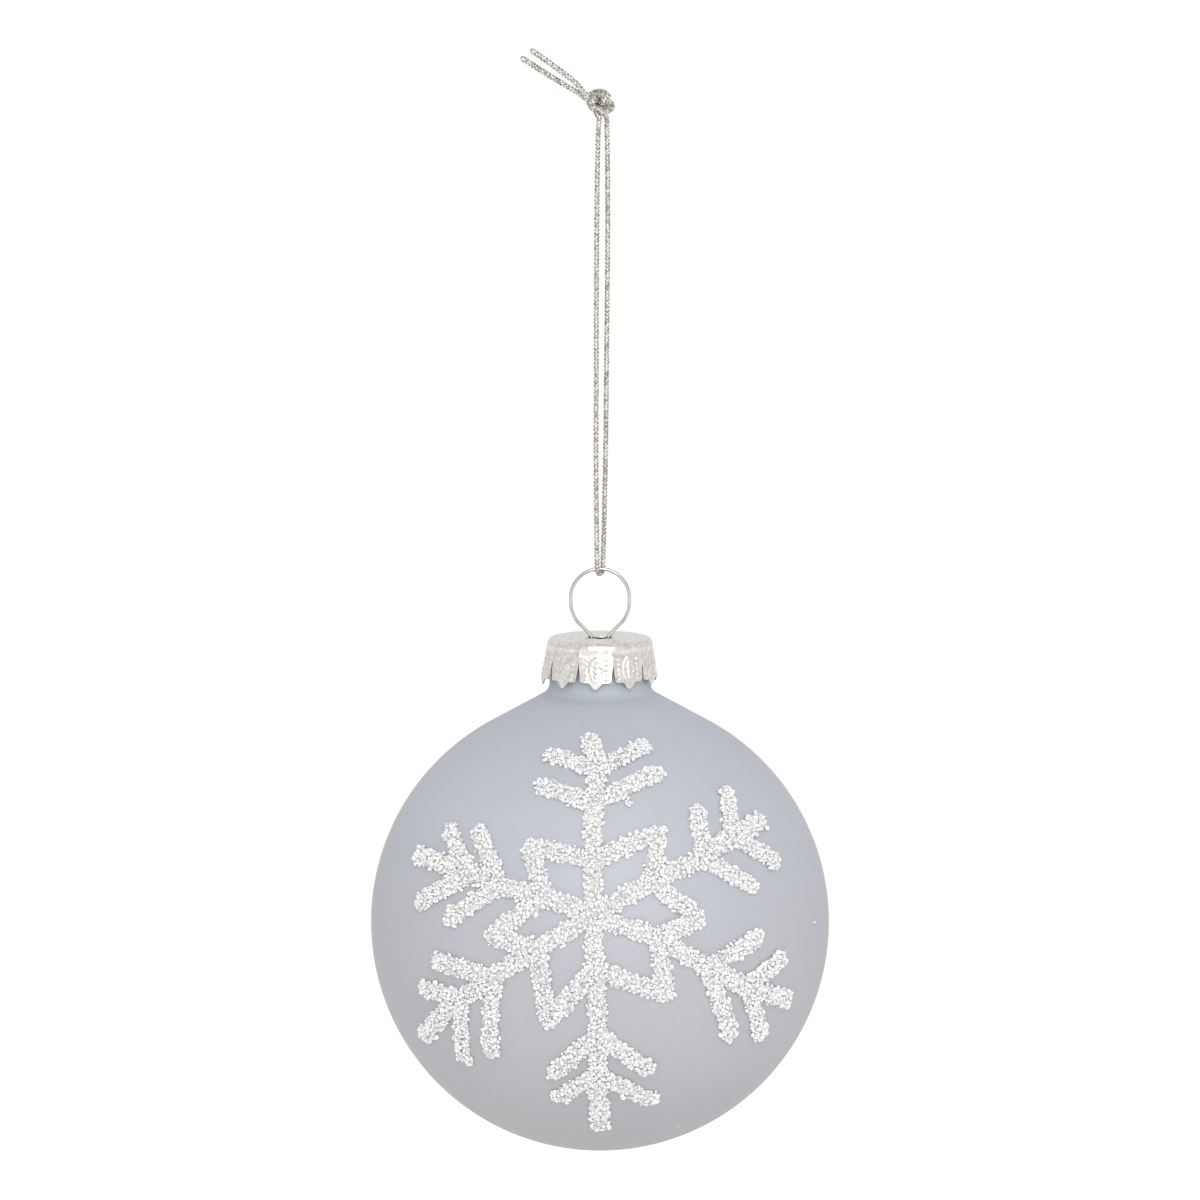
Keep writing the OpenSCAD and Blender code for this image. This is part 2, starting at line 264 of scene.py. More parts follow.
mix = nodes.new("ShaderNodeMix")
mix.data_type = "RGBA"
mix.blend_type = "MULTIPLY"
mix.inputs["Factor"].default_value = 1
links.new(yarn_height_painted_shade.outputs["Color"], mix.inputs["A"])
links.new(fleck_ramp.outputs["Color"], mix.inputs["B"])
links.new(mix.outputs["Result"], shader.inputs["Base Color"])
shader.inputs["Metallic"].default_value = 0.75
shader.inputs["Roughness"].default_value = 0.32

for side_name, route, other_route, tail, depth, size, half_length in (
        ("left", left_route, right_route, left_tail, -knot_strand_gap, 0.7, 0.114),
        ("right", right_route, left_route, right_tail, knot_strand_gap, 1.02, 0.1195)):
    half, line = braided_tube(
        "cord_half_" + side_name, route + knot_turns(depth, size) + tail, other_route[1])
    half.data.materials.append(cord_silver)
    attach(half, "cord")
    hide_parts("cord_" + side_name, *(["cord_knot"] if side_name == "left" else []))


# ---------------------------------------------------------------- hanger
# One length of 0.6 mm spring wire, bent round a former into a ring whose sides run together
# into the cap's slot, with two legs that spread inside the glass neck.

wire_low, wire_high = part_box("hanger_wire")
wire_r = 0.3 * MM
ring_r = 5.1 * MM
ring_taper = math.radians(45)       # how far the ring's round goes on below its sides
ring_side = 0.9 * MM
leg_gap = 3 * MM
leg_straight = 4.2 * MM             # the straight of a leg, from the ring's side to its knee
wire_steps = 14
toe_bend, knee_bend, slot_bend = 0.6 * MM, 1.2 * MM, 0.8 * MM

# Work from the right toe up, round the ring and down to the left toe. The end of the wire that
# is being worked is always the one selected: tip is its middle and heading its direction.
ring_top = Vector((0, 0, wire_high.z - wire_r - ring_r))
ring_low = ring_top - Vector((0, 0, ring_side))
taper_point = ring_low + ring_r * Vector((math.cos(ring_taper), 0, -math.sin(ring_taper)))
taper_dir = Vector((-math.sin(ring_taper), 0, -math.cos(ring_taper)))
entry = taper_point + taper_dir * ((taper_point.x - leg_gap / 2) / math.sin(ring_taper))
knee = Vector((entry.x, 0, entry.z - leg_straight))
foot_x = wire_high.x - wire_r
toe = Vector((foot_x - entry.x, 0, wire_low.z + wire_r))
foot = Vector((foot_x, 0, toe.z + entry.x))


def rounded(corner, start, end, radius, steps):
    """Points of a bend of a given radius in place of a corner between two straights."""
    a, b = (start - corner).normalized(), (end - corner).normalized()
    half_angle = a.angle(b) / 2
    cut = radius / math.tan(half_angle)
    first, last = corner + a * cut, corner + b * cut
    middle = corner + (a + b).normalized() * radius / math.sin(half_angle)
    points = []
    for k in range(steps + 1):
        arm = (first - middle).normalized().slerp((last - middle).normalized(), k / steps)
        points.append(middle + arm * radius)
    return points


leg = [toe]
leg += rounded(foot, toe, knee, toe_bend, 6)
leg += rounded(knee, foot, entry, knee_bend, 6)
leg += rounded(entry, knee, taper_point, slot_bend, 6)
arc_low = [ring_low + ring_r * Vector((math.cos(a), 0, math.sin(a)))
           for a in np.linspace(-ring_taper, 0, wire_steps)]
arc_high = [ring_top + ring_r * Vector((math.cos(a), 0, math.sin(a)))
            for a in np.linspace(0, math.pi / 2, 3 * wire_steps)]
right_half = leg + arc_low + arc_high
wire_line = right_half + [Vector((-p.x, p.y, p.z)) for p in reversed(right_half[:-1])]

bpy.ops.object.select_all(action="DESELECT")
start_dir = (wire_line[1] - wire_line[0]).normalized()
bpy.ops.mesh.primitive_circle_add(
    vertices=20, radius=wire_r, location=wire_line[0],
    rotation=start_dir.to_track_quat("Z", "Y").to_euler())
hanger = bpy.context.object
hanger.name = "hanger_spring_wire"
bpy.ops.object.transform_apply(location=True, rotation=True, scale=True)
bpy.ops.object.mode_set(mode="EDIT")
bpy.ops.mesh.select_all(action="SELECT")
heading = start_dir
for i in range(1, len(wire_line)):
    here, last = wire_line[i], wire_line[i - 1]
    if i + 1 < len(wire_line):
        new_heading = ((wire_line[i + 1] - here).normalized()
                       + (here - last).normalized()).normalized()
    else:
        new_heading = (here - last).normalized()
    bpy.ops.mesh.extrude_region_move(TRANSFORM_OT_translate={"value": here - last})
    bend = heading.rotation_difference(new_heading).to_matrix()
    mesh = bmesh.from_edit_mesh(hanger.data)
    bmesh.ops.rotate(mesh, verts=[v for v in mesh.verts if v.select], cent=here, matrix=bend)
    bmesh.update_edit_mesh(hanger.data)
    heading = new_heading
bpy.ops.mesh.select_all(action="DESELECT")
bpy.ops.mesh.select_non_manifold()
bpy.ops.mesh.edge_face_add()
bpy.ops.mesh.select_all(action="SELECT")
bpy.ops.mesh.normals_make_consistent(inside=False)
bpy.ops.object.mode_set(mode="OBJECT")
bpy.ops.object.shade_smooth_by_angle(angle=math.radians(50))

wire_steel, nodes, links, shader = blank_material("bright_spring_wire")
place = nodes.new("ShaderNodeTexCoord")
drawn = nodes.new("ShaderNodeTexNoise")
drawn.inputs["Scale"].default_value = 900
drawn.inputs["Detail"].default_value = 3
links.new(place.outputs["Object"], drawn.inputs["Vector"])
tone = nodes.new("ShaderNodeValToRGB")
tone.color_ramp.elements[0].color = (0.4, 0.395, 0.38, 1)
tone.color_ramp.elements[1].color = (0.54, 0.535, 0.51, 1)
links.new(drawn.outputs["Fac"], tone.inputs["Fac"])
links.new(tone.outputs["Color"], shader.inputs["Base Color"])
shader.inputs["Metallic"].default_value = 1
shader.inputs["Roughness"].default_value = 0.16
hanger.data.materials.append(wire_steel)
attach(hanger, "hanger")
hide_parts("hanger_wire")


# ---------------------------------------------------------------- crown cap
# One piece stamped and drawn from thin sheet, with a slot for the hanger in its top and ten
# flat tabs folded down round the neck. Each tab is embossed with two rows of dots and a leaf,
# and ends in a brace-shaped edge with a rounded tongue.

cap_low, cap_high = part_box("crown_cap")
cap_top = cap_high.z
sheet = 0.25 * MM
cap_height = (cap_high.z - cap_low.z) / MM
# The outline is in mm, with heights down from the cap's top
fold_r = 1.0
flat_r = 8.2                        # radius of the flat top
hem_r = 10.3                        # radius of the corners at the foot of a tab
slot_half = 2.3
slot_half_w = 0.7
tabs = 10
tab_half = math.pi / tabs
first_tab = math.radians(-94.5)
tongue = 1.15                       # how far a tongue hangs below its tab
slit_top = -3.5
slit_half_w = 0.42
dots, dot_column, dot_first, dot_step, dot_r = 5, 1.8, 2.75, 0.86, 0.3
leaf_middle, leaf_half, leaf_width = -4.5, 2.2, 1.0
band_foot, band_depth = -2.0, 0.1
lip_drop = 0.35
tab_columns = 36
top_rows, fold_rows, tab_rows = 15, 7, 46


def slot_reach(angle):
    """Distance from the middle of the slot to its edge in a direction."""
    c, s = abs(math.cos(angle)), abs(math.sin(angle))
    straight = slot_half - slot_half_w
    if s > 0 and slot_half_w * c / s <= straight:
        return slot_half_w / s
    return straight * c + math.sqrt(slot_half_w ** 2 - (straight * s) ** 2)


def bell(distance, width):
    """A smooth hump, 1 in its middle and 0 at a distance of width."""
    return 0.5 + 0.5 * math.cos(math.pi * min(abs(distance) / width, 1))


def emboss(x, z):
    """Height in mm of the pattern pressed into a tab, from x across it and z down from the top."""
    height = 0
    for row in range(dots):
        from_dot = math.hypot(abs(x) - dot_column, z + dot_first + dot_step * row)
        height += 0.22 * bell(from_dot, dot_r)
    # The leaf: a rib up the middle, its rim, and veins that slant up from the rib
    along = (z - leaf_middle) / leaf_half
    if abs(along) < 1:
        rim = leaf_width * (1 - along * along)
        height += 0.13 * bell(abs(x) - rim, 0.3)
        if abs(x) < rim:
            height += 0.1 * bell(x, 0.3) + 0.12 * (rim - abs(x))
            height += 0.06 * bell((z - 0.8 * abs(x)) % 0.9 - 0.45, 0.4)
    # The plain band above the pattern is pressed in a little
    if z >= band_foot:
        return height - band_depth
    return height - band_depth * bell(z - band_foot, 0.35)


def crumple(x, y, z):
    """Slight waves that the drawing leaves in the sheet, in mm."""
    return (0.05 * math.sin(1.9 * x + 0.7 * y + 1.3) * math.sin(1.3 * y - 0.8 * x + z)
            + 0.025 * math.sin(3.1 * x - 2.3 * y + 1.6 * z))


rows = []
for tab in range(tabs):
    middle = first_tab + 2 * tab_half * tab
    across, outward = Vector((-math.sin(middle), math.cos(middle), 0)), Vector(
        (math.cos(middle), math.sin(middle), 0))
    wobble = math.sin(2.4 * tab + 0.5)
    for column in range(tab_columns + 1):
        a = 2 * column / tab_columns - 1
        angle = middle + a * tab_half
        ray = Vector((math.cos(angle), math.sin(angle), 0))
        inner = slot_reach(angle)
        strip = []
        for i in range(top_rows):
            t = i / (top_rows - 1)
            r = inner + (flat_r - inner) * t
            spot = ray * r
            lift = crumple(spot.x, spot.y, 0) * math.sin(math.pi * t)
            # The front lip of the slot is pushed down a little
            lift -= lip_drop * bell(r - inner, 1.8) * max(0, -ray.y) * bell(spot.x, 3.5)
            # The fold pulls the edge down between two tabs
            lift -= 0.05 * t ** 6 * abs(a) ** 3
            strip.append(Vector((spot.x, spot.y, lift)))
        for i in range(1, fold_rows):
            turn = math.pi / 2 * i / (fold_rows - 1)
            r = flat_r + fold_r * math.sin(turn)
            bulge = 1 - 0.25 * i / fold_rows * (1 - a * a)
            sag = r * (1 - math.cos(tab_half)) * (1 - a * a)
            spot = ray * r - outward * sag * (1 - bulge)
            strip.append(Vector((spot.x, spot.y, -0.05 * abs(a) ** 3
                                 - (fold_r - 0.05 * abs(a) ** 3) * (1 - math.cos(turn)))))
        width_low = hem_r * math.sin(tab_half) - slit_half_w
        foot_x = a * width_low
        foot_z = (-cap_height + tongue - tongue * bell(foot_x, 1.3) ** 0.7
                  + 0.28 * max(0, (abs(foot_x) - width_low + 0.45) / 0.45) ** 2)
        for i in range(1, tab_rows + 1):
            z = -fold_r + (foot_z + fold_r) * i / tab_rows
            down = (-fold_r - z) / (cap_height - fold_r)
            r = flat_r + fold_r + (hem_r - flat_r - fold_r) * down
            slit = slit_half_w * max(0, (slit_top - z) / (slit_top + cap_height - tongue))
            slit = min(slit, slit_half_w)
            x = a * (r * math.sin(tab_half) - slit)
            flat = 0.25 + 0.75 * math.exp(-(down * (cap_height - fold_r)) / 0.7)
            depth = (r * math.cos(tab_half)
                     + r * (1 - math.cos(tab_half)) * (1 - a * a) * (0.3 + 0.7 * flat))
            edge = 1 - max(0, abs(a) - 0.86) / 0.14
            depth += emboss(x, z) * min(1, edge * 1.5) * min(1, down * 12)
            depth += 0.1 * wobble * down ** 2 - 0.04 * abs(wobble) * down
            depth += 0.4 * crumple(x + 5 * tab, 0.7 * z, 1.5 * z) * min(1, down * 6)
            depth += 0.5 * down ** 2 * max(0, -outward.x)
            # The tongue turns in a little
            depth -= 0.18 * max(0, (-z - cap_height + tongue) / tongue) ** 2
            spot = across * x + outward * depth
            strip.append(Vector((spot.x, spot.y, z)))
        rows.append(strip)

strip_length = len(rows[0])
corners = [p * MM + Vector((0, 0, cap_top)) for strip in rows for p in strip]
faces = []
for tab in range(tabs):
    for column in range(tab_columns):
        base = (tab * (tab_columns + 1) + column) * strip_length
        for i in range(strip_length - 1):
            faces.append((base + i, base + i + 1, base + strip_length + i + 1,
                          base + strip_length + i))
cap_mesh = bpy.data.meshes.new("crown_cap_pressed")
cap_mesh.from_pydata(corners, [], faces)
cap = bpy.data.objects.new("crown_cap_pressed", cap_mesh)
bpy.context.collection.objects.link(cap)
bpy.ops.object.select_all(action="DESELECT")
cap.select_set(True)
bpy.context.view_layer.objects.active = cap
bpy.ops.object.mode_set(mode="EDIT")
bpy.ops.mesh.select_all(action="SELECT")
bpy.ops.mesh.remove_doubles(threshold=0.002 * MM)
bpy.ops.mesh.normals_make_consistent(inside=False)
bpy.ops.object.mode_set(mode="OBJECT")
if cap.data.polygons[0].normal.z < 0:
    cap.data.flip_normals()
wall = cap.modifiers.new("sheet", "SOLIDIFY")
wall.thickness = sheet
wall.offset = -1
bpy.ops.object.modifier_apply(modifier="sheet")
bpy.ops.object.shade_smooth_by_angle(angle=math.radians(40))

cap_metal, nodes, links, shader = blank_material("stamped_warm_silver")
place = nodes.new("ShaderNodeTexCoord")
# Partly painted reflection: the random light and dark patches are the sheet's patina, and also
# stand in for dark surroundings that the crumpled metal would reflect
patina_and_painted_reflection = nodes.new("ShaderNodeTexNoise")
patina_and_painted_reflection.inputs["Scale"].default_value = 1500
patina_and_painted_reflection.inputs["Detail"].default_value = 6
links.new(place.outputs["Object"], patina_and_painted_reflection.inputs["Vector"])
tone = nodes.new("ShaderNodeValToRGB")
tone.color_ramp.elements[0].position = 0.3
tone.color_ramp.elements[0].color = (0.55, 0.52, 0.48, 1)
tone.color_ramp.elements[1].position = 0.7
tone.color_ramp.elements[1].color = (0.79, 0.76, 0.725, 1)
links.new(patina_and_painted_reflection.outputs["Fac"], tone.inputs["Fac"])
links.new(tone.outputs["Color"], shader.inputs["Base Color"])
shader.inputs["Metallic"].default_value = 1
shader.inputs["Roughness"].default_value = 0.3
dimple = nodes.new("ShaderNodeTexNoise")
dimple.inputs["Scale"].default_value = 700
dimple.inputs["Detail"].default_value = 1
links.new(place.outputs["Object"], dimple.inputs["Vector"])
bump = nodes.new("ShaderNodeBump")
bump.inputs["Strength"].default_value = 0.7
bump.inputs["Distance"].default_value = 0.12 * MM
links.new(dimple.outputs["Fac"], bump.inputs["Height"])
links.new(bump.outputs["Normal"], shader.inputs["Normal"])
cap.data.materials.append(cap_metal)
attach(cap, "cap")
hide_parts("crown_cap")


# ---------------------------------------------------------------- glass ball
# Blown glass with a short drawn-in neck, cut off and fire-rounded at the rim. The outside is
# dipped in a satin pearl lacquer of a pale grey blue. The hidden inside wears the same finish.

ball_mm = ball_r / MM
glass_wall = 0.7
neck_wall = 1.1
slope = math.radians(29)            # the shoulder's fall from level
neck_out = 8.8                      # the neck's outer radius
neck_curve = 2.4                    # radius of the hollow between shoulder and neck
segments = 160


def bulb_curve(r, neck_x, curve):
    """The curve from the edge of the cut sphere, by the straight shoulder, up to the neck."""
    middle = Vector((neck_x + curve, (r + curve - (neck_x + curve) * math.sin(slope))
                     / math.cos(slope)))
    points = [Vector((r * math.sin(slope), r * math.cos(slope)))]
    for i in range(13):
        turn = math.radians(90) - slope - (math.radians(90) - slope) * i / 12
        points.append(middle - curve * Vector((math.cos(turn), math.sin(turn))))
    return points


outside = bulb_curve(ball_mm, neck_out, neck_curve)
inside = bulb_curve(ball_mm - glass_wall, neck_out - neck_wall, neck_curve + neck_wall)
rim_top = (ball_high.z - ball_centre.z) / MM
rim_r = neck_wall / 2
rim = []
for i in range(9):
    turn = math.pi * i / 8
    rim.append(Vector((neck_out - rim_r + rim_r * math.cos(turn),
                       rim_top - rim_r + rim_r * math.sin(turn))))
profile = outside[:1]
for i in range(1, 8):
    profile.append(outside[0].lerp(outside[1], i / 8))
profile += outside[1:]
profile += [Vector((neck_out, outside[-1].y + (rim_top - rim_r - outside[-1].y) * i / 4))
            for i in (1, 2, 3)]
profile += rim + inside[::-1]


def open_sphere(name, radius, cut_height):
    """A sphere of glass without what is above a height, its open edge selected."""
    bpy.ops.object.select_all(action="DESELECT")
    bpy.ops.mesh.primitive_uv_sphere_add(segments=segments, ring_count=88, radius=radius)
    sphere = bpy.context.object
    sphere.name = name
    bpy.ops.object.mode_set(mode="EDIT")
    bpy.ops.mesh.select_all(action="SELECT")
    bpy.ops.mesh.bisect(plane_co=(0, 0, cut_height), plane_no=(0, 0, 1), clear_outer=True)
    bpy.ops.mesh.select_all(action="DESELECT")
    bpy.ops.mesh.select_non_manifold()
    return sphere


lining = open_sphere("ball_lining", inside[0].length * MM, inside[0].y * MM)
bpy.ops.object.mode_set(mode="OBJECT")
ball = open_sphere("lacquered_glass_ball", ball_r, outside[0].y * MM)
for last, new in zip(profile, profile[1:]):
    bpy.ops.mesh.extrude_region_move()
    bpy.ops.transform.resize(value=(new.x / last.x, new.x / last.x, 1),
                             center_override=(0, 0, 0))
    bpy.ops.transform.translate(value=(0, 0, (new.y - last.y) * MM))
bpy.ops.object.mode_set(mode="OBJECT")
lining.select_set(True)
bpy.ops.object.join()
bpy.ops.object.mode_set(mode="EDIT")
bpy.ops.mesh.select_all(action="SELECT")
bpy.ops.mesh.remove_doubles(threshold=0.01 * MM)
bpy.ops.mesh.normals_make_consistent(inside=False)
bpy.ops.transform.translate(value=ball_centre)
bpy.ops.object.mode_set(mode="OBJECT")
bpy.ops.object.shade_smooth_by_angle(angle=math.radians(35))

lacquer, nodes, links, shader = blank_material("satin_pearl_lacquer")
place = nodes.new("ShaderNodeTexCoord")
mottle = nodes.new("ShaderNodeTexNoise")
mottle.inputs["Scale"].default_value = 45
mottle.inputs["Detail"].default_value = 3
links.new(place.outputs["Object"], mottle.inputs["Vector"])
tint = nodes.new("ShaderNodeValToRGB")
tint.color_ramp.elements[0].position = 0.3
tint.color_ramp.elements[0].color = (0.97, 0.975, 0.98, 1)
tint.color_ramp.elements[1].position = 0.7
tint.color_ramp.elements[1].color = (1, 1, 1, 1)
links.new(mottle.outputs["Fac"], tint.inputs["Fac"])
# The lacquer is a shade bluer round the neck. Painted shade: the colour also darkens towards the
# foot, standing in for the lower ball getting less light
height = nodes.new("ShaderNodeSeparateXYZ")
links.new(place.outputs["Object"], height.inputs["Vector"])
band = nodes.new("ShaderNodeMapRange")
band.inputs["From Min"].default_value = ball_low.z
band.inputs["From Max"].default_value = ball_high.z
links.new(height.outputs["Z"], band.inputs["Value"])
lacquer_tint_and_painted_foot_shade = nodes.new("ShaderNodeValToRGB")
lacquer_tint_and_painted_foot_shade.color_ramp.elements[0].color = (0.375, 0.375, 0.388, 1)
lacquer_tint_and_painted_foot_shade.color_ramp.elements[1].color = (0.4, 0.44, 0.475, 1)
for position, colour in ((0.2, (0.41, 0.41, 0.428, 1)), (0.45, (0.42, 0.426, 0.456, 1)),
                         (0.7, (0.435, 0.45, 0.483, 1))):
    lacquer_tint_and_painted_foot_shade.color_ramp.elements.new(position).color = colour
links.new(band.outputs["Result"], lacquer_tint_and_painted_foot_shade.inputs["Fac"])
speck = nodes.new("ShaderNodeTexNoise")
speck.inputs["Scale"].default_value = 2600
speck.inputs["Detail"].default_value = 2
links.new(place.outputs["Object"], speck.inputs["Vector"])
speck_tone = nodes.new("ShaderNodeValToRGB")
speck_tone.color_ramp.elements[0].position = 0.35
speck_tone.color_ramp.elements[0].color = (0.95, 0.95, 0.95, 1)
speck_tone.color_ramp.elements[1].position = 0.65
speck_tone.color_ramp.elements[1].color = (1, 1, 1, 1)
links.new(speck.outputs["Fac"], speck_tone.inputs["Fac"])
mix = nodes.new("ShaderNodeMix")
mix.data_type = "RGBA"
mix.blend_type = "MULTIPLY"
mix.inputs["Factor"].default_value = 1
links.new(lacquer_tint_and_painted_foot_shade.outputs["Color"], mix.inputs["A"])
links.new(speck_tone.outputs["Color"], mix.inputs["B"])
mottled = nodes.new("ShaderNodeMix")
mottled.data_type = "RGBA"
mottled.blend_type = "MULTIPLY"
mottled.inputs["Factor"].default_value = 1
links.new(mix.outputs["Result"], mottled.inputs["A"])
links.new(tint.outputs["Color"], mottled.inputs["B"])
links.new(mottled.outputs["Result"], shader.inputs["Base Color"])
bump = nodes.new("ShaderNodeBump")
bump.inputs["Strength"].default_value = 0.15
bump.inputs["Distance"].default_value = 0.02 * MM
links.new(speck.outputs["Fac"], bump.inputs["Height"])
links.new(bump.outputs["Normal"], shader.inputs["Normal"])
shader.inputs["Metallic"].default_value = 0.15
shader.inputs["Roughness"].default_value = 0.6
shader.inputs["Specular IOR Level"].default_value = 0.15
ball.data.materials.append(lacquer)
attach(ball, "ball")
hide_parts("glass_ball")


# ---------------------------------------------------------------- snowflake of white grit
# Strokes of glue piped by hand on the front of the ball and strewn with coarse white grit.
# Each piece is the low bed of glue, with the grains heaped on it and a few over its edges.

grit_nodes = ("star", "arm_top", "arm_upper_right", "arm_lower_right", "arm_bottom",
              "arm_lower_left", "arm_upper_left")
glue_height = 0.35 * MM
heap_height = 1.0 * MM
stroke_half = 1.35 * MM
grain_gap = 0.41 * MM
large_grains, small_grains, edge_grains = (0.85, 1.4), (0.5, 0.8), (0.5, 1.3)   # in mm
heap_slip, edge_slip = 0.25, 0.2    # how far grains lie from where they were thrown, in mm
edge_share = 0.22                   # share of the outline's points that get a lump

grit_white, nodes, links, shader = blank_material("coarse_white_grit")
grain = nodes.new("ShaderNodeAttribute")
grain.attribute_name = "grain"
tone = nodes.new("ShaderNodeValToRGB")
tone.color_ramp.elements[0].color = (0.75, 0.75, 0.76, 1)
tone.color_ramp.elements[1].position = 0.35
tone.color_ramp.elements[1].color = (0.8, 0.8, 0.795, 1)
links.new(grain.outputs["Fac"], tone.inputs["Fac"])
links.new(tone.outputs["Color"], shader.inputs["Base Color"])
# The grains let a little light through
shader.inputs["Specular IOR Level"].default_value = 0.3
shader.inputs["Subsurface Weight"].default_value = 0.7
shader.inputs["Subsurface Radius"].default_value = (1, 1, 1)
shader.inputs["Subsurface Scale"].default_value = 0.6 * MM
rough = nodes.new("ShaderNodeMapRange")
rough.inputs["To Min"].default_value = 0.5
rough.inputs["To Max"].default_value = 0.9
links.new(grain.outputs["Fac"], rough.inputs["Value"])
links.new(rough.outputs["Result"], shader.inputs["Roughness"])
place = nodes.new("ShaderNodeTexCoord")
frost = nodes.new("ShaderNodeTexNoise")
frost.inputs["Scale"].default_value = 5000
links.new(place.outputs["Object"], frost.inputs["Vector"])
bump = nodes.new("ShaderNodeBump")
bump.inputs["Strength"].default_value = 0.3
bump.inputs["Distance"].default_value = 0.03 * MM
links.new(frost.outputs["Fac"], bump.inputs["Height"])
links.new(bump.outputs["Normal"], shader.inputs["Normal"])

chance = np.random.default_rng(12)

# A few crystals to copy: ico spheres with their corners pushed about
crystals = []
for i in range(6):
    bpy.ops.object.select_all(action="DESELECT")
    bpy.ops.mesh.primitive_ico_sphere_add(subdivisions=1, radius=1)
    crystal = bpy.context.object
    shape = np.array([v.co for v in crystal.data.vertices])
    shape *= chance.uniform(0.72, 1.12, (len(shape), 1))
    shape *= np.array([1, 0.85, 0.7])
    sides = np.array([list(f.vertices) for f in crystal.data.polygons])
    crystals.append((shape, sides))
    bpy.data.objects.remove(crystal)


def outer_skin(node):
    """The corners of the outer faces of a stroke's solid, and its merged mesh."""
    mesh = bmesh.new()
    mesh.from_mesh(bpy.data.objects[node].data)
    bmesh.ops.remove_doubles(mesh, verts=mesh.verts, dist=0.002 * MM)
    top = max((v.co - ball_centre).length for v in mesh.verts)
    outer = [f for f in mesh.faces
             if all((v.co - ball_centre).length > top - 0.1 * MM for v in f.verts)]
    return mesh, outer, top


def edge_points(outer):
    """Points every so often along the outline of the outer faces."""
    inside = set(outer)
    points = []
    for face in outer:
        for edge in face.edges:
            if sum(f in inside for f in edge.link_faces) == 1:
                a, b = edge.verts[0].co, edge.verts[1].co
                n = max(1, math.ceil((b - a).length / (0.12 * MM)))
                points += [a.lerp(b, i / n) for i in range(n)]
    return points


def kd_of(points):
    """A tree for finding the nearest of some points."""
    tree = KDTree(len(points))
    for i, point in enumerate(points):
        tree.insert(point, i)
    tree.balance()
    return tree


def random_turn():
    """A random turn, as a matrix."""
    q = chance.normal(size=4)
    w, x, y, z = q / np.linalg.norm(q)
    return np.array([
        [1 - 2 * (y * y + z * z), 2 * (x * y - w * z), 2 * (x * z + w * y)],
        [2 * (x * y + w * z), 1 - 2 * (x * x + z * z), 2 * (y * z - w * x)],
        [2 * (x * z - w * y), 2 * (y * z + w * x), 1 - 2 * (x * x + y * y)]])


def grit_piece(name, bed, spots):
    """One object of a bed of glue (corners, faces) and a grain at each spot (place, size)."""
    corners = [np.array(bed[0])] if bed[0] else []
    faces = list(bed[1])
    tones = [0.9] * len(bed[0])
    count = len(bed[0])
    for place, size in spots:
        shape, sides = crystals[chance.integers(len(crystals))]
        corners.append(shape @ random_turn().T * size / 2 + np.array(place))
        faces += (sides + count).tolist()
        tones += [chance.uniform()] * len(shape)
        count += len(shape)
    mesh = bpy.data.meshes.new(name)
    mesh.from_pydata(np.concatenate(corners).tolist(), [], faces)
    mesh.attributes.new("grain", "FLOAT", "POINT").data.foreach_set("value", tones)
    mesh.materials.append(grit_white)
    mesh.shade_smooth()
    piece = bpy.data.objects.new(name, mesh)
    bpy.context.collection.objects.link(piece)
    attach(piece, "ball")
    return piece


skins = {node: outer_skin("snowflake_" + node) for node in grit_nodes}
outlines = {node: edge_points(skins[node][1]) for node in grit_nodes}
trees = {node: kd_of(outlines[node]) for node in grit_nodes}
# Where the star and an arm meet there is no edge
free_edges = {node: [p for p in outlines[node]
                     if all(other == node or trees[other].find(p)[2] > 0.15 * MM
                            for other in grit_nodes)]
              for node in grit_nodes}
edge_tree = kd_of([p for node in grit_nodes for p in free_edges[node]])

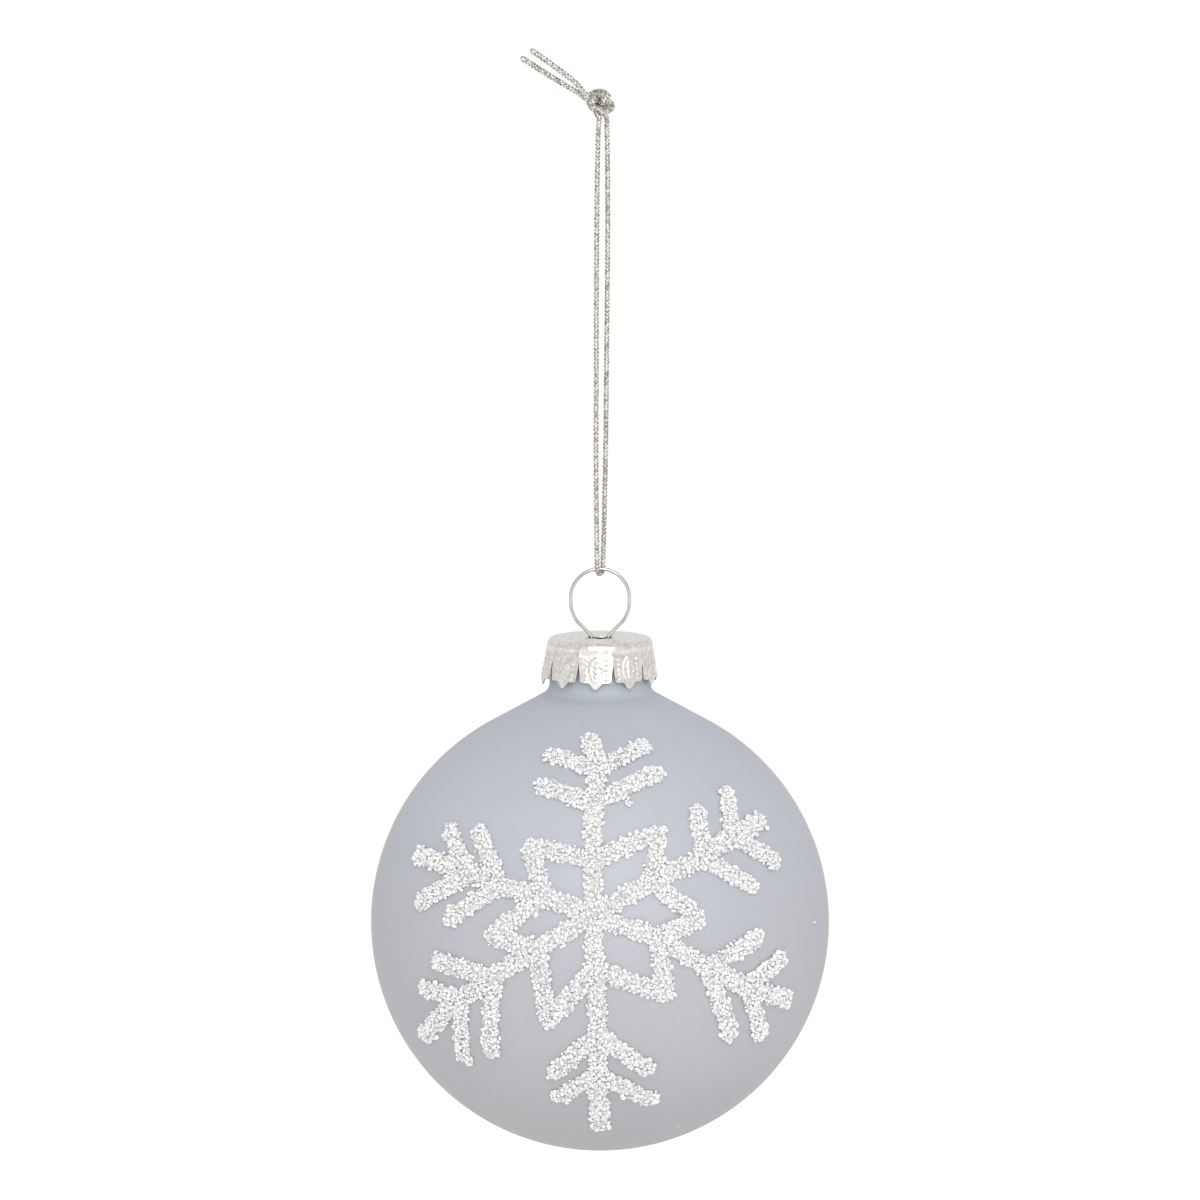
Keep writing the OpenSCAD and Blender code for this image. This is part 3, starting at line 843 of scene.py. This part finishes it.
for node in grit_nodes:
    mesh, outer, top = skins[node]
    triangles = np.array([[v.co for v in f.verts] for f in outer if len(f.verts) == 3])
    side_a, side_b = triangles[:, 1] - triangles[:, 0], triangles[:, 2] - triangles[:, 0]
    areas = np.linalg.norm(np.cross(side_a, side_b), axis=1) / 2
    tries = int(areas.sum() / (grain_gap * grain_gap) * 7)
    picks = chance.choice(len(areas), tries, p=areas / areas.sum())
    u, v = chance.uniform(size=(2, tries, 1))
    fold = u + v > 1
    u, v = np.where(fold, 1 - u, u), np.where(fold, 1 - v, v)
    throws = triangles[picks, 0] + u * side_a[picks] + v * side_b[picks]
    # Large grains first, then small ones in what is left
    taken = {}
    spots = []
    for i, throw in enumerate(throws):
        large = i < tries / 2
        size = chance.uniform(*(large_grains if large else small_grains))
        space = grain_gap / MM * (1.4 if large else 0.9)
        key = tuple(np.floor(throw / (0.6 * MM)).astype(int))
        near = [q for dx in (-1, 0, 1) for dy in (-1, 0, 1) for dz in (-1, 0, 1)
                for q in taken.get((key[0] + dx, key[1] + dy, key[2] + dz), ())]
        if any(np.linalg.norm(q - throw) < space * MM for q in near):
            continue
        taken.setdefault(key, []).append(throw)
        depth = min(edge_tree.find(throw)[2] / stroke_half, 1)
        heap = heap_height * math.sqrt(max(0, 1 - (1 - depth) ** 2))
        out = Vector(throw) - ball_centre
        out.normalize()
        rise = max(0.15 * MM, heap - 0.25 * size * MM + chance.uniform(-0.08, 0.08) * MM)
        slip = Vector(chance.normal(size=3)) * heap_slip * MM
        spots.append((ball_centre + out * (ball_r + rise) + slip - out * slip.dot(out),
                      size * MM))
    # Lumps of grit along the edges hide the line of the glue
    for point in free_edges[node]:
        if chance.uniform() > edge_share:
            continue
        size = chance.uniform(*edge_grains)
        slip = Vector(chance.normal(size=3)) * edge_slip * MM
        out = (Vector(point) + slip - ball_centre).normalized()
        spots.append((ball_centre + out * (ball_r + 0.32 * size * MM), size * MM))
    for vertex in mesh.verts:
        out = vertex.co - ball_centre
        if out.length > ball_r + glue_height:
            vertex.co = ball_centre + out.normalized() * (ball_r + glue_height)
    mesh.verts.index_update()
    bed = [list(v.co) for v in mesh.verts], [[v.index for v in f.verts] for f in mesh.faces]
    piece = grit_piece("grit_" + node, bed, spots)
    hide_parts("snowflake_" + node)
    mesh.free()

# Grains that stuck beside the strokes: two clumps by the top arm, and a few alone
strays = []
for middle, count, spread, size in (
        ((4.7, -30.5, 25.5), 9, 0.6, 0.8), ((-5, -30.5, 25), 5, 0.4, 0.7),
        ((37, -15, 2), 2, 0.3, 0.4), ((-14, -36, -10.5), 1, 0, 0.35),
        ((13.5, -17.5, -33), 1, 0, 0.35), ((34, -13, 16.5), 1, 0, 0.3)):
    for i in range(count):
        out = Vector(middle) + spread * Vector(chance.normal(size=3))
        strays.append((ball_centre + out.normalized() * (ball_r + 0.3 * size * MM),
                       size * chance.uniform(0.8, 1.2) * MM))
grit_piece("grit_strays", ([], []), strays)
